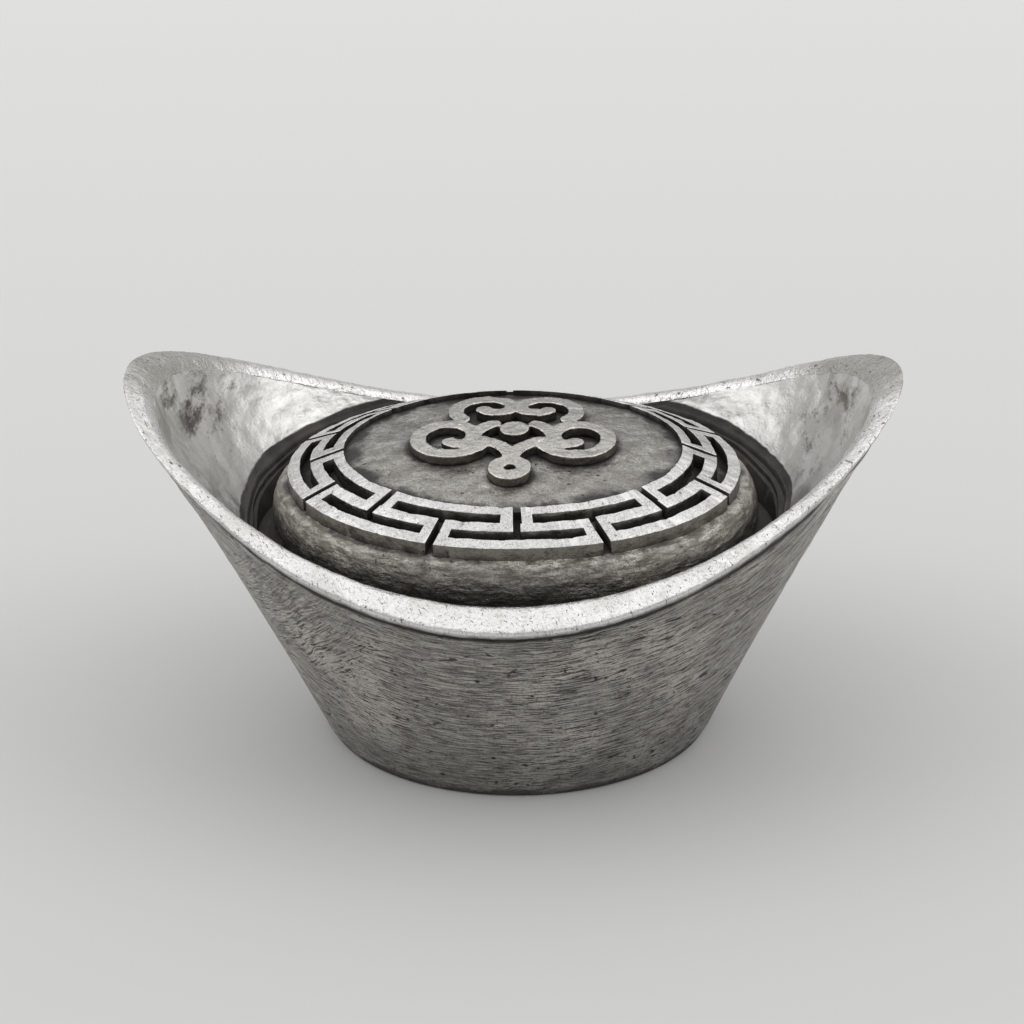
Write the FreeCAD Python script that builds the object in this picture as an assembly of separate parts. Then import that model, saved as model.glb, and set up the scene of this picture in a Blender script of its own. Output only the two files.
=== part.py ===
"""Boat-shaped silver ingot: a cast hull with two raised ears, a domed centre piece seated in it,
and a fret band, medallion plate and raised cloud ornament on the dome.

Millimetres, +Z up. The origin is the middle of the underside, and the ears rise at +X and -X.
"""
import FreeCAD, Part
import math
import os

V = FreeCAD.Vector

# Hull, outside
length = 62.0              # ear tip to ear tip, before the rim is bevelled
width = 40.2               # across the rim at the middle of the long sides, also before bevelling
ear_height = 31.2          # underside to the outer edge of an ear tip
side_height = 18.8         # underside to the outer edge of the rim at the middle of a side
foot_length = 31.6
foot_width = 27.0
end_flare = 0.35           # how far the ends hollow inwards between foot and ear
side_flare = 0.25          # the same on the long sides
section_steps = 4          # steps between the level sections that the outside and the bowl follow

# Rim land, the bright tilted band between the outside and the bowl
side_wall = 2.5            # land width at the middle of a side, seen from above
ear_wall = 2.1             # land width at an ear tip
land_rise = 1.1            # how much higher its inner edge is at the middle of a side
rim_depth = 0.7            # height of the rim band that is soldered along the top of the wall
rim_proud = 0.12           # how far it stands out past the wall below it
rim_bevel = 0.35           # bevel on the outer edge of the land
inner_bevel = 0.2          # bevel on its inner edge

# Bowl, the smooth inner face of the ears
bowl_hollow = 0.7          # how far the ear faces sink behind a straight line
bowl_side_slope = 0.61     # outward run of the inner side faces per mm of height
lip_height = 19.0          # where the bowl ends and the sunk groove begins
lip_ledge = 0.35           # narrow shelf at the top of the groove

# Dome, the oval centre piece
dome_length = 39.2         # at its widest, near the foot
oval_ratio = 0.763         # width over length of the dome and of all that lies on it
seat_height = 16.8         # floor of the groove, where the dome's foot stands
dome_belly = 18.4          # height of its widest part
dome_foot_inset = 0.25     # how far the foot draws in below the belly
dome_wall = 1.7
seat_lip = 0.3             # shelf left outside the fret band
shoulder_out = 1.15        # how far the shoulder stands out past the fret band
shoulder_down = 1.1        # and how far below the band's seat
shoulder_steps = 3         # short slopes that round the shoulder over
groove_width = 2.0         # dark gap between dome and hull
solder_leg = 0.8           # fillet of solder where the dome's foot meets the groove floor

# Cavity and base plate
floor_wall = 3.2           # hull wall round the cavity, just above the base plate
plate_thickness = 1.6
plate_ledge = 0.9          # shelf that the base plate lies against
solder_gap = 0.03          # all round the base plate and the medallion plate

# Fret band
band_outer = 36.4          # length of its outer edge
band_inner = 27.2          # length of its inner edge
band_outer_top = 22.75
band_inner_top = 24.6
band_thickness = 1.2
fret_units = 8             # repeats of the fret round the band
stem_width = 0.62          # slots that run across the band
fret_turn = 3.6            # degrees that the fret lies turned round the dome, as it was laid by hand
slot_outer_span = 18.4     # degrees each side of a stem that the outer long slot reaches
slot_inner_span = 17.4     # degrees each side of a stem that the inner long slot reaches
outer_bar = 1.0            # radial widths from the band's outer edge inwards
outer_slot = 0.86
middle_bar = 0.98
inner_slot = 0.92

# Medallion plate and cloud ornament
field_drop = 0.5           # the plate's edge lies this far below the band's inner edge
field_crown = 0.9          # rise of the plate from its edge to its centre
relief = 0.8               # height of the ornament above the plate
stroke_width = 1.3
side_scroll = (2.75, 2.2, 1.0)       # radii of a side scroll's half turns, from outside in
side_scroll_place = (4.9, -0.3)      # centre of its first half turn, right of the middle
side_scroll_turn = (-165, 130)       # where it starts, and how far its last arc runs, in degrees
head_scroll = (2.45, 1.25)           # the same for the two lobes of the head
head_scroll_place = (2.45, 4.6)
head_scroll_turn = (-42, 190)
neck_radius = 3.3                    # arcs that rise from the side scrolls to the head
neck_place = -0.9
neck_turn = (-2, 58)
tail_radius = 3.3                    # arcs that run together below the scrolls
tail_place = -4.2
tail_turn = (90, 180)
pearl_radius = 1.2                   # round bead in the middle
pearl_place = 1.0
drop_radius = 1.1                    # ring-shaped bead at the foot of the ornament
drop_place = -5.3

# Lengths worked out from the sizes above
half_length = length / 2
half_width = width / 2
dome_radius = dome_length / 2
dome_foot_radius = dome_radius - dome_foot_inset
band_outer_radius = band_outer / 2
band_inner_radius = band_inner / 2
inner_edge_side = half_width - side_wall
inner_edge_ear = half_length - ear_wall
side_bend = land_rise / (half_width**2 - inner_edge_side**2)
saddle_height = side_height + side_bend * half_width**2
end_bend = (ear_height - saddle_height) / half_length**2
inner_ear_height = saddle_height + end_bend * inner_edge_ear**2
band_seat_outer = band_outer_top - band_thickness
band_seat_inner = band_inner_top - band_thickness
field_edge = band_inner_top - field_drop
groove_half_x = dome_radius + groove_width
groove_half_y = dome_radius * oval_ratio + groove_width
cavity_half_x = foot_length / 2 - floor_wall
cavity_half_y = foot_width / 2 - floor_wall
above_ears = ear_height + 2.0


def ellipse_wire(half_x, half_y, z):
    """A level ellipse as a closed wire, with its long axis either way."""
    if half_x >= half_y:
        ellipse = Part.Ellipse(V(half_x, 0, z), V(0, half_y, z), V(0, 0, z))
    else:
        ellipse = Part.Ellipse(V(0, half_y, z), V(-half_x, 0, z), V(0, 0, z))
    return Part.Wire([ellipse.toShape()])


def oval_loft(sections, straight=False):
    """A solid through level ellipses, each (half x, half y, height), smooth or in straight steps."""
    return Part.makeLoft([ellipse_wire(*section) for section in sections], True, straight)


def oval(shape):
    """Draws a round solid in across the width, to the dome's oval."""
    squeeze = FreeCAD.Matrix()
    squeeze.scale(1.0, oval_ratio, 1.0)
    return shape.transformGeometry(squeeze)


def turned(points):
    """A solid turned about Z from a closed outline of (radius, height) points, with straight sides."""
    outline = Part.makePolygon([V(r, 0, z) for r, z in points + points[:1]])
    return Part.Face(outline).revolve(V(0, 0, 0), V(0, 0, 1), 360)


def outside_section(z, proud=0.0):
    """Half length and half width of the hull's outside at a height, and that height."""
    end_share = z / ear_height
    side_share = z / side_height
    half_x = foot_length / 2 + (half_length - foot_length / 2) * end_share
    half_y = foot_width / 2 + (half_width - foot_width / 2) * side_share
    half_x -= end_flare * 4 * end_share * (1 - end_share)
    half_y -= side_flare * 4 * side_share * (1 - side_share)
    return half_x + proud, half_y + proud, z


def bowl_section(z):
    """Half length and half width of the bowl between the ears at a height."""
    start = dome_radius + groove_width + lip_ledge
    share = (z - lip_height) / (inner_ear_height - lip_height)
    half_x = start + (inner_edge_ear - start) * share + bowl_hollow * 4 * share * (1 - share)
    half_y = inner_edge_side + bowl_side_slope * (z - side_height - land_rise)
    return half_x, half_y, z


def between(low, high, steps):
    return [low + (high - low) * i / steps for i in range(steps + 1)]


def below_saddle(drop=0.0):
    """All that lies under the saddle-shaped surface of the rim land, or under one lower by the drop."""
    reach_x = half_length + 4.0
    reach_y = half_width + 8.0
    surface = Part.BezierSurface()
    surface.increase(2, 2)
    for i in range(3):
        for j in range(3):
            rise_x = end_bend * reach_x**2 * (-1 if i == 1 else 1)
            rise_y = side_bend * reach_y**2 * (-1 if j == 1 else 1)
            pole = V(reach_x * (i - 1), reach_y * (j - 1), saddle_height + rise_x - rise_y - drop)
            surface.setPole(i + 1, j + 1, pole)
    return surface.toShape().extrude(V(0, 0, -2 * above_ears))


def bowl_space():
    """The space between the ears, down to the top of the groove."""
    return oval_loft([bowl_section(z) for z in between(lip_height, above_ears, section_steps)])


def make_hull():
    """The cast hull: flared outside, saddle-shaped top, bowl, groove, dome seat and hollow foot."""
    outside = oval_loft([outside_section(z) for z in between(0, above_ears, section_steps)])
    groove = oval_loft([
        (groove_half_x, groove_half_y, seat_height),
        (groove_half_x, groove_half_y, lip_height),
    ])
    cavity = oval_loft([
        (cavity_half_x, cavity_half_y, plate_thickness),
        (cavity_half_x, cavity_half_y, seat_height),
    ])
    recess = oval_loft([
        (cavity_half_x + plate_ledge, cavity_half_y + plate_ledge, 0),
        (cavity_half_x + plate_ledge, cavity_half_y + plate_ledge, plate_thickness),
    ])
    body = outside.common(below_saddle(rim_depth))
    return body.cut(bowl_space()).cut(groove).cut(cavity).cut(recess)


def on_land(point):
    land_height = saddle_height + end_bend * point.x**2 - side_bend * point.y**2
    return abs(point.z - land_height) < 0.02


def land_edges(band, outer):
    """The outer edges, or the inner ones, of the band's bright upper face."""
    edges = [edge for edge in band.Edges if all(on_land(point) for point in edge.discretize(9))]
    divide = inner_edge_side + side_wall / 2
    return [edge for edge in edges if (edge.BoundBox.YMax > divide) == outer]


def make_rim_band():
    """The polished band along the top of the wall, bevelled on both edges of its tilted face."""
    outside = oval_loft([outside_section(z, rim_proud) for z in between(0, above_ears, section_steps)])
    band = outside.common(below_saddle()).cut(below_saddle(rim_depth)).cut(bowl_space())
    band = band.makeChamfer(rim_bevel, land_edges(band, True))
    return band.makeChamfer(inner_bevel, land_edges(band, False))


def make_base_plate():
    """The oval plate that closes the hollow foot, flush with the underside."""
    half_x = cavity_half_x + plate_ledge - solder_gap
    half_y = cavity_half_y + plate_ledge - solder_gap
    return oval_loft([(half_x, half_y, 0), (half_x, half_y, plate_thickness)])


def crown_cap(edge_height, low):
    """A round block as wide as the medallion, from a low height up to a shallow crown."""
    ball_radius = (band_inner_radius**2 + field_crown**2) / (2 * field_crown)
    ball_place = V(0, 0, edge_height + field_crown - ball_radius)
    ball = Part.makeSphere(ball_radius, ball_place, V(1, 0, 0))
    block = Part.makeCylinder(band_inner_radius, edge_height + field_crown - low + 1, V(0, 0, low))
    return block.common(ball)


def seat_level(radius):
    """Height of the dome's sloping seat for the fret band, at a distance along its long axis."""
    share = (band_outer_radius + seat_lip - radius) / (band_outer_radius + seat_lip - band_inner_radius)
    return band_seat_outer + (band_seat_inner - band_seat_outer) * share


def dome_outline():
    """Points (distance, height) up the dome at its long axis: foot, belly, round shoulder, seat."""
    belly = V(dome_radius, 0, dome_belly)
    shoulder = V(band_outer_radius + shoulder_out, 0, band_seat_outer - shoulder_down)
    seat = V(band_outer_radius + seat_lip, 0, band_seat_outer)
    bend = Part.Arc(belly, shoulder, seat).toShape()
    rounded = [(point.x, point.z) for point in bend.discretize(shoulder_steps + 1)]
    return [(dome_foot_radius, seat_height)] + rounded + [(band_inner_radius, band_seat_inner)]


def make_dome():
    """The oval dome, flat under the medallion plate and hollow below."""
    outside = oval_loft([(r, r * oval_ratio, z) for r, z in dome_outline()], True)
    inside = dome_foot_radius - dome_wall
    roof = band_seat_outer - dome_wall
    return outside.cut(oval_loft([(inside, inside * oval_ratio, z) for z in (seat_height, roof)]))


def round_solder():
    """The fillet of solder round the dome's foot, before it is drawn in to an oval."""
    lean = dome_foot_inset * solder_leg / (dome_belly - seat_height)
    return turned([
        (dome_foot_radius, seat_height),
        (dome_foot_radius + solder_leg, seat_height),
        (dome_foot_radius + lean, seat_height + solder_leg),
    ])


def sector(inner, outer, middle_angle, half_span):
    """A tall block between two radii, and between two angles in degrees."""
    span = 2 * half_span
    tall = 2 * above_ears
    start = V(0, 0, -above_ears)
    wedge = Part.makeCylinder(outer, tall, start, V(0, 0, 1), span)
    wedge = wedge.cut(Part.makeCylinder(inner, tall, start))
    wedge.rotate(V(0, 0, 0), V(0, 0, 1), middle_angle - half_span)
    return wedge


def stem(inner, outer, angle):
    """A tall block of the stem's width, across the band between two radii."""
    block = Part.makeBox(outer - inner, stem_width, 2 * above_ears, V(inner, -stem_width / 2, -above_ears))
    block.rotate(V(0, 0, 0), V(0, 0, 1), angle)
    return block


def round_band():
    """The pierced fret band before it is drawn in to an oval, cut by T-shaped slots in and out."""
    blank = turned([
        (band_inner_radius, band_inner_top),
        (band_outer_radius, band_outer_top),
        (band_outer_radius, seat_level(band_outer_radius)),
        (band_inner_radius, band_seat_inner),
    ])
    outer_slot_out = band_outer_radius - outer_bar
    outer_slot_in = outer_slot_out - outer_slot
    inner_slot_out = outer_slot_in - middle_bar
    inner_slot_in = inner_slot_out - inner_slot
    slots = []
    for unit in range(fret_units):
        from_inside = 270 + unit * 360 / fret_units
        from_outside = from_inside - 180 / fret_units
        slots.append(sector(outer_slot_in, outer_slot_out, from_inside, slot_outer_span))
        slots.append(stem(band_inner_radius - stem_width, outer_slot_in + outer_slot / 2, from_inside))
        slots.append(sector(inner_slot_in, inner_slot_out, from_outside, slot_inner_span))
        slots.append(stem(inner_slot_in + inner_slot / 2, band_outer_radius + stem_width, from_outside))
    band = blank.cut(slots)
    band.rotate(V(0, 0, 0), V(0, 0, 1), fret_turn)
    return band


def round_plate():
    """The medallion plate, flat below and crowned above, before it is drawn in to an oval."""
    cap = crown_cap(field_edge, band_seat_inner)
    return cap.common(Part.makeCylinder(band_inner_radius - solder_gap, 2 * above_ears))


def half_turns(place, radii, start, last_turn):
    """A scroll as arcs (x, y, radius, start, end), each half turn smaller than the one before."""
    x, y = place
    arcs = []
    for index, radius in enumerate(radii):
        last = index == len(radii) - 1
        end = start + (last_turn if last else 180)
        arcs.append((x, y, radius, start, end))
        if not last:
            shift = radius - radii[index + 1]
            x += shift * math.cos(math.radians(end))
            y += shift * math.sin(math.radians(end))
        start = end
    return arcs


def stroke(x, y, radius, start, end):
    """A tall curved bar with round ends, one stroke of the ornament."""
    half = stroke_width / 2
    tall = 2 * above_ears
    bar = Part.makeCylinder(radius + half, tall, V(0, 0, 0), V(0, 0, 1), end - start)
    if radius > half:
        bar = bar.cut(Part.makeCylinder(radius - half, tall))
    bar.rotate(V(0, 0, 0), V(0, 0, 1), start)
    bar.translate(V(x, y, 0))
    ends = []
    for angle in (start, end):
        tip = V(x + radius * math.cos(math.radians(angle)), y + radius * math.sin(math.radians(angle)), 0)
        ends.append(Part.makeCylinder(half, tall, tip))
    return bar.fuse(ends)


def make_ornament():
    """The raised cloud: a two-lobed head, two side scrolls, tails, and a pearl in the middle."""
    arcs = half_turns(side_scroll_place, side_scroll, *side_scroll_turn)
    arcs += half_turns(head_scroll_place, head_scroll, *head_scroll_turn)
    arcs.append((0, neck_place, neck_radius, *neck_turn))
    arcs.append((tail_radius, tail_place, tail_radius, *tail_turn))
    strokes = []
    for x, y, radius, start, end in arcs:
        strokes.append(stroke(x, y, radius, start, end))
        strokes.append(stroke(-x, y, radius, 180 - end, 180 - start))
    strokes.append(Part.makeCylinder(pearl_radius, 2 * above_ears, V(0, pearl_place, 0)))
    drop = V(0, drop_place, 0)
    strokes.append(Part.makeCylinder(drop_radius + stroke_width / 2, 2 * above_ears, drop))
    outline = strokes[0].fuse(strokes[1:])
    outline = outline.cut(Part.makeCylinder(drop_radius - stroke_width / 2, 2 * above_ears, drop))
    skin = crown_cap(field_edge + relief, field_edge).cut(crown_cap(field_edge, band_seat_inner))
    return oval(skin).common(outline)


pieces = {
    "hull": make_hull(),
    "rim_band": make_rim_band(),
    "base_plate": make_base_plate(),
    "dome": make_dome(),
    "seat_solder": oval(round_solder()),
    "fret_band": oval(round_band()),
    "medallion_plate": oval(round_plate()),
    "cloud_ornament": make_ornament(),
}

os.makedirs("parts", exist_ok=True)
for name, shape in pieces.items():
    print(name, shape.isValid(), len(shape.Solids), round(shape.Volume, 1))
    shape.exportStep("parts/" + name + ".step")
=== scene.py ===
"""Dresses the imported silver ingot: cast hull, polished rim, domed centre, fret ring and cloud relief.

Pieces are modelled in millimetres about the part's own origin, and scaled to metres when finished.
"""
import math
import random
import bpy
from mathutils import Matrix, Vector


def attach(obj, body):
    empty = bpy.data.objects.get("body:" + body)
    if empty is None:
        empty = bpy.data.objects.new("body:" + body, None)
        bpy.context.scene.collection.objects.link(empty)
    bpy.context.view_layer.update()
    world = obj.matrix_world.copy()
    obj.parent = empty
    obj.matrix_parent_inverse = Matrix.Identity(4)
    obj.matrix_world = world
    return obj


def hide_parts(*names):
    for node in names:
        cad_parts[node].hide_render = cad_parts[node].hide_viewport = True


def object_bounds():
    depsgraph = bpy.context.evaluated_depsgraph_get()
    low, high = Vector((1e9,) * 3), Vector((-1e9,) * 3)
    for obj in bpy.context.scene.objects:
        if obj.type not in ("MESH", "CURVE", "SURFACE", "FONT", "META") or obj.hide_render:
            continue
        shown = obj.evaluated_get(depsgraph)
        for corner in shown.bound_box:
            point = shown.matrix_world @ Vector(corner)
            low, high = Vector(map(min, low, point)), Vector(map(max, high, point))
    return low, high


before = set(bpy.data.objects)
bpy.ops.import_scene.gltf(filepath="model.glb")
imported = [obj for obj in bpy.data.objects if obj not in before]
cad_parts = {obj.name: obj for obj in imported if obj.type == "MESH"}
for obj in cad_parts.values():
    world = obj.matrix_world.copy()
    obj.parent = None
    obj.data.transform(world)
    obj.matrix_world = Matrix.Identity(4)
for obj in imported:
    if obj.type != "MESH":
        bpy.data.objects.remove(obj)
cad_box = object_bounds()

from types import SimpleNamespace

import bpy
from bpy.props import FloatProperty, FloatVectorProperty, IntProperty, PointerProperty
from bpy.types import Operator, Panel, PropertyGroup
from mathutils import Matrix, Vector, noise

bl_info = {
    "name": "Silver Ingot",
    "version": (1, 0, 0),
    "blender": (4, 5, 0),
    "location": "View3D > Sidebar > Ingot",
    "description": "Models and finishes a boat-shaped silver ingot around its packed frame",
    "category": "Object",
}

MM = 0.001
BODY = "root"

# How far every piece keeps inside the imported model's box, in millimetres
BOX_INSET = 0.008

# Slow warp of the whole casting: repeats per millimetre, reach in millimetres, where each axis starts
WARP_REPEAT = 0.09
WARP_REACH = 0.16
WARP_STARTS = ((3.1, 7.7, 1.9), (13.7, 2.3, 5.9), (8.3, 17.1, 11.7))

# Halvings with which a wall is followed up to the land
SEARCH_STEPS = 26

# Repeats of the file strokes' noise per metre: two ways across, and up the wall
FINE_STROKES = (520.0, 520.0, 6600.0)
COARSE_STROKES = (260.0, 260.0, 3600.0)
CROSSED_STROKES = (500.0, 500.0, 6800.0)

# Size of the upright tube that the strokes are laid on, as a share of the hull's length and height
STROKE_SHARE = 0.8

# Where the strokes cross at the front left: centre and radius in metres
CROSSED_PATCH = (-0.0165, -0.0125, 0.0165)
CROSSED_REACH = 0.009

# Lamps: name, place, what they point at, side in metres and watts
LAMPS = (
    ("overhead", (0.0, 0.50, 0.75), (0.0, 0.50, 0.0), 2.0, 6.8),
    ("left_fill", (-0.78, -0.03, 0.64), (0.0, 0.0, 0.0), 0.7, 1.3),
    ("right_fill", (0.78, -0.03, 0.64), (0.0, 0.0, 0.0), 0.7, 1.3),
)
WORLD_GREY = 0.47
FLOOR_SIZE = 12.0
SENSOR_WIDTH = 36.0

# Where film dulls the rim, at the back of each ear tip
TIP_FILM = ((-0.029, 0.006, 0.031), (0.029, 0.006, 0.031))

# Where old film gathers in the bowl: centre and radius in metres, and how much
BOWL_STAINS = (
    ((-0.0265, 0.0049, 0.0265), 0.0070, 0.10),
    ((0.0258, 0.0075, 0.0270), 0.0075, 0.09),
    ((0.0232, 0.0030, 0.0205), 0.0045, 0.11),
)


def size_mm(name, default, description):
    return FloatProperty(
        name=name, description=description, default=default * MM, unit="LENGTH", precision=5
    )


def degrees(name, default, description):
    return FloatProperty(
        name=name, description=description, default=math.radians(default), subtype="ANGLE"
    )


def colour(name, default, description):
    return FloatVectorProperty(
        name=name, description=description, default=default, subtype="COLOR", size=3, min=0.0, max=1.0
    )


class HullSizes(PropertyGroup):
    """Cast hull and the polished band along its rim."""

    length: size_mm("Length", 62.0, "Ear tip to ear tip, before the rim is rounded")
    width: size_mm("Width", 40.2, "Across the rim at the middle of the long sides")
    ear_height: size_mm("Ear height", 31.2, "Underside to the outer edge of an ear tip")
    side_height: size_mm("Side height", 18.8, "Underside to the rim at the middle of a side")
    foot_length: size_mm("Foot length", 31.6, "Length of the oval foot")
    foot_width: size_mm("Foot width", 27.0, "Width of the oval foot")
    foot_round: size_mm("Foot round", 0.3, "Worn round of the foot's edge")
    end_flare: size_mm("End flare", 0.35, "How far the ends hollow inwards")
    side_flare: size_mm("Side flare", 0.25, "How far the long sides hollow inwards")
    side_wall: size_mm("Side wall", 2.5, "Width of the rim land at the middle of a side")
    ear_wall: size_mm("Ear wall", 2.1, "Width of the rim land at an ear tip")
    land_rise: size_mm("Land rise", 1.1, "Rise of the land's inner edge at the side")
    rim_depth: size_mm("Rim depth", 0.7, "Height of the band along the rim")
    rim_proud: size_mm("Rim proud", 0.12, "How far the band stands out past the wall")
    rim_round: size_mm("Rim round", 0.38, "Worn round of the band's outer edge")
    inner_round: size_mm("Inner round", 0.62, "Worn round of the band's inner edge")
    bowl_hollow: size_mm("Bowl hollow", 0.7, "How far the ear faces sink")
    bowl_side_slope: FloatProperty(
        name="Bowl side slope", description="Outward run of the side faces for each rise", default=0.61
    )
    lip_height: size_mm("Lip height", 19.0, "Where the bowl ends and the groove begins")
    lip_ledge: size_mm("Lip ledge", 0.35, "Narrow shelf at the top of the groove")
    lip_rise: size_mm("Lip rise", 2.0, "How far the groove's lip climbs towards the back")
    seat_height: size_mm("Seat height", 16.8, "Floor of the groove")
    groove_width: size_mm("Groove width", 2.0, "Gap between the dome and the hull")
    floor_wall: size_mm("Floor wall", 3.2, "Hull wall round the hollow of the foot")
    plate_thickness: size_mm("Plate thickness", 1.6, "Thickness of the foot plate")
    plate_ledge: size_mm("Plate ledge", 0.9, "Shelf that the foot plate lies against")
    plate_gap: size_mm("Plate gap", 0.05, "Seam round the foot plate")


class CentreSizes(PropertyGroup):
    """Domed centre with its fret ring and medallion."""

    dome_length: size_mm("Dome length", 39.2, "Length of the dome at its widest")
    oval_ratio: FloatProperty(name="Oval ratio", description="Width over length of the dome", default=0.763)
    dome_belly: size_mm("Dome belly", 18.4, "Height of the dome's widest part")
    dome_foot_inset: size_mm("Foot inset", 0.25, "How far the dome draws in at its foot")
    dome_wall: size_mm("Dome wall", 1.7, "Wall of the hollow dome")
    seat_lip: size_mm("Seat lip", 0.3, "Shelf left outside the fret ring")
    solder_leg: size_mm("Solder leg", 0.8, "Solder at the dome's foot")
    band_outer: size_mm("Ring length", 36.4, "Length of the fret ring's outer edge")
    band_inner: size_mm("Ring opening", 27.2, "Length of the fret ring's inner edge")
    band_outer_top: size_mm("Ring outer top", 22.75, "Height of the ring's outer edge")
    band_inner_top: size_mm("Ring inner top", 24.6, "Height of the ring's inner edge")
    band_thickness: size_mm("Ring thickness", 1.2, "Thickness of the fret ring")
    outer_bar: size_mm("Outer bar", 1.0, "Width of the ring's outer bar")
    outer_slot: size_mm("Outer slot", 0.86, "Width of the outer long slots")
    middle_bar: size_mm("Middle bar", 0.98, "Width of the ring's middle bar")
    inner_slot: size_mm("Inner slot", 0.92, "Width of the inner long slots")
    worn_edge: size_mm("Worn edge", 0.07, "Worn round of the fret's edges")
    stem_width: size_mm("Stem width", 0.62, "Width of the slots across the ring")
    fret_units: IntProperty(name="Fret units", description="Repeats of the fret round the ring", default=8)
    fret_turn: degrees("Fret turn", 3.6, "Turn of the fret round the dome, as it was laid by hand")
    outer_span: degrees("Outer span", 18.4, "Reach of an outer slot each way")
    inner_span: degrees("Inner span", 17.4, "Reach of an inner slot each way")
    field_drop: size_mm("Field drop", 0.5, "How far the medallion's edge lies below the ring")
    field_crown: size_mm("Field crown", 0.9, "Rise of the medallion from edge to centre")


class FinishColours(PropertyGroup):
    """Tones of the silver."""

    # On fret and cloud edges this tone is part wear, part painted highlight
    bright: colour("Bright silver", (0.88, 0.875, 0.86), "Rubbed silver on rims and edges")
    satin: colour("Satin silver", (0.50, 0.484, 0.45), "Filed outside of the hull")
    bowl: colour("Bowl silver", (0.74, 0.73, 0.705), "Smooth inside of the ears")
    field: colour("Field silver", (0.56, 0.545, 0.51), "Grainy face of the medallion")
    aged: colour("Aged silver", (0.62, 0.60, 0.55), "Grey silver of the dome")
    film: colour("Film", (0.33, 0.315, 0.27), "Thin brownish film near the ear tips")
    # On steep walls this brown is part tarnish, part painted shade
    warm: colour("Warm tarnish", (0.15, 0.135, 0.11), "Brown tarnish in streaks and on steep walls")
    tarnish: colour("Black tarnish", (0.028, 0.026, 0.024), "Black silver in grooves and corners")


class StageSettings(PropertyGroup):
    """Camera, lamps and floor."""

    azimuth: degrees("Azimuth", -3.82, "Way the camera looks, from straight back")
    elevation: degrees("Elevation", 27.895, "How far the camera looks down")
    roll: degrees("Roll", 1.33, "Turn about the view")
    distance: size_mm("Distance", 291.46, "Camera to the point it looks at")
    target: FloatVectorProperty(
        name="Target", description="Point that the camera looks at", default=(-0.236 * MM, 0.0, 18.663 * MM),
        subtype="XYZ", unit="LENGTH", precision=5
    )
    lens: FloatProperty(name="Lens", description="Focal length in mm of a 36 mm frame", default=126.47)
    # The near and far floor colours make a painted gradient of light, brighter far behind
    floor_near: colour("Floor near", (0.685, 0.685, 0.673), "Floor colour in front")
    floor_far: colour("Floor far", (0.83, 0.83, 0.82), "Floor colour far behind")


def lengths(group):
    """A property group's values, with its lengths in millimetres."""
    found = {}
    for name, rule in group.bl_rna.properties.items():
        if rule.type not in {"FLOAT", "INT"} or rule.is_array:
            continue
        value = getattr(group, name)
        found[name] = value / MM if rule.unit == "LENGTH" else value
    return SimpleNamespace(**found)


def hull_form(context):
    """The hull's sizes with the shape of the saddle that its rim lies on."""
    s = lengths(context.scene.ingot_hull)
    s.half_length = s.length / 2
    s.half_width = s.width / 2
    s.inner_side = s.half_width - s.side_wall
    s.inner_ear = s.half_length - s.ear_wall
    s.side_bend = s.land_rise / (s.half_width**2 - s.inner_side**2)
    s.saddle_height = s.side_height + s.side_bend * s.half_width**2
    s.end_bend = (s.ear_height - s.saddle_height) / s.half_length**2
    s.inner_ear_height = s.saddle_height + s.end_bend * s.inner_ear**2
    return s


def centre_form(context):
    s = lengths(context.scene.ingot_centre)
    s.dome_radius = s.dome_length / 2
    s.foot_radius = s.dome_radius - s.dome_foot_inset
    s.outer_radius = s.band_outer / 2
    s.inner_radius = s.band_inner / 2
    s.seat_outer = s.band_outer_top - s.band_thickness
    s.seat_inner = s.band_inner_top - s.band_thickness
    s.field_edge = s.band_inner_top - s.field_drop
    return s


def saddle(s, x, y):
    """Height of the rim land's surface above a point."""
    return s.saddle_height + s.end_bend * x**2 - s.side_bend * y**2


def outside_wall(s, angle, z, proud=0.0):
    """Plan position of the hull's outside at an angle and a height."""
    end_share = z / s.ear_height
    side_share = z / s.side_height
    half_x = s.foot_length / 2 + (s.half_length - s.foot_length / 2) * end_share
    half_y = s.foot_width / 2 + (s.half_width - s.foot_width / 2) * side_share
    half_x -= s.end_flare * 4 * end_share * (1 - end_share)
    half_y -= s.side_flare * 4 * side_share * (1 - side_share)
    return (half_x + proud) * math.cos(angle), (half_y + proud) * math.sin(angle)


def bowl_wall(s, c, angle, z):
    """Plan position of the bowl's face at an angle and a height."""
    start = c.dome_radius + s.groove_width + s.lip_ledge
    share = (z - s.lip_height) / (s.inner_ear_height - s.lip_height)
    half_x = start + (s.inner_ear - start) * share + s.bowl_hollow * 4 * share * (1 - share)
    half_y = s.inner_side + s.bowl_side_slope * (z - s.side_height - s.land_rise)
    return half_x * math.cos(angle), half_y * math.sin(angle)


def under_saddle(s, wall, drop):
    """Point where a wall, given as a function of height, meets the land's surface lowered by a drop."""
    low = s.lip_height - 4
    high = s.ear_height + 2
    for _ in range(SEARCH_STEPS):
        middle = (low + high) / 2
        if middle < saddle(s, *wall(middle)) - drop:
            low = middle
        else:
            high = middle
    return Vector((*wall(high), high))


def mix(a, b, share):
    return a + (b - a) * share


def bend(start, corner, end, share):
    """Point on a rounded corner between two points."""
    return mix(mix(start, corner, share), mix(corner, end, share), share)


def shares(count):
    return [i / count for i in range(count + 1)]


def deselect_all():
    bpy.ops.object.select_all(action="DESELECT")


def only(piece):
    """Makes a piece the one active and selected object."""
    deselect_all()
    piece.select_set(True)
    bpy.context.view_layer.objects.active = piece


def oval(half_x, half_y, z):
    """A level ring of a tube."""
    return lambda angle: Vector((half_x * math.cos(angle), half_y * math.sin(angle), z))


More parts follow.
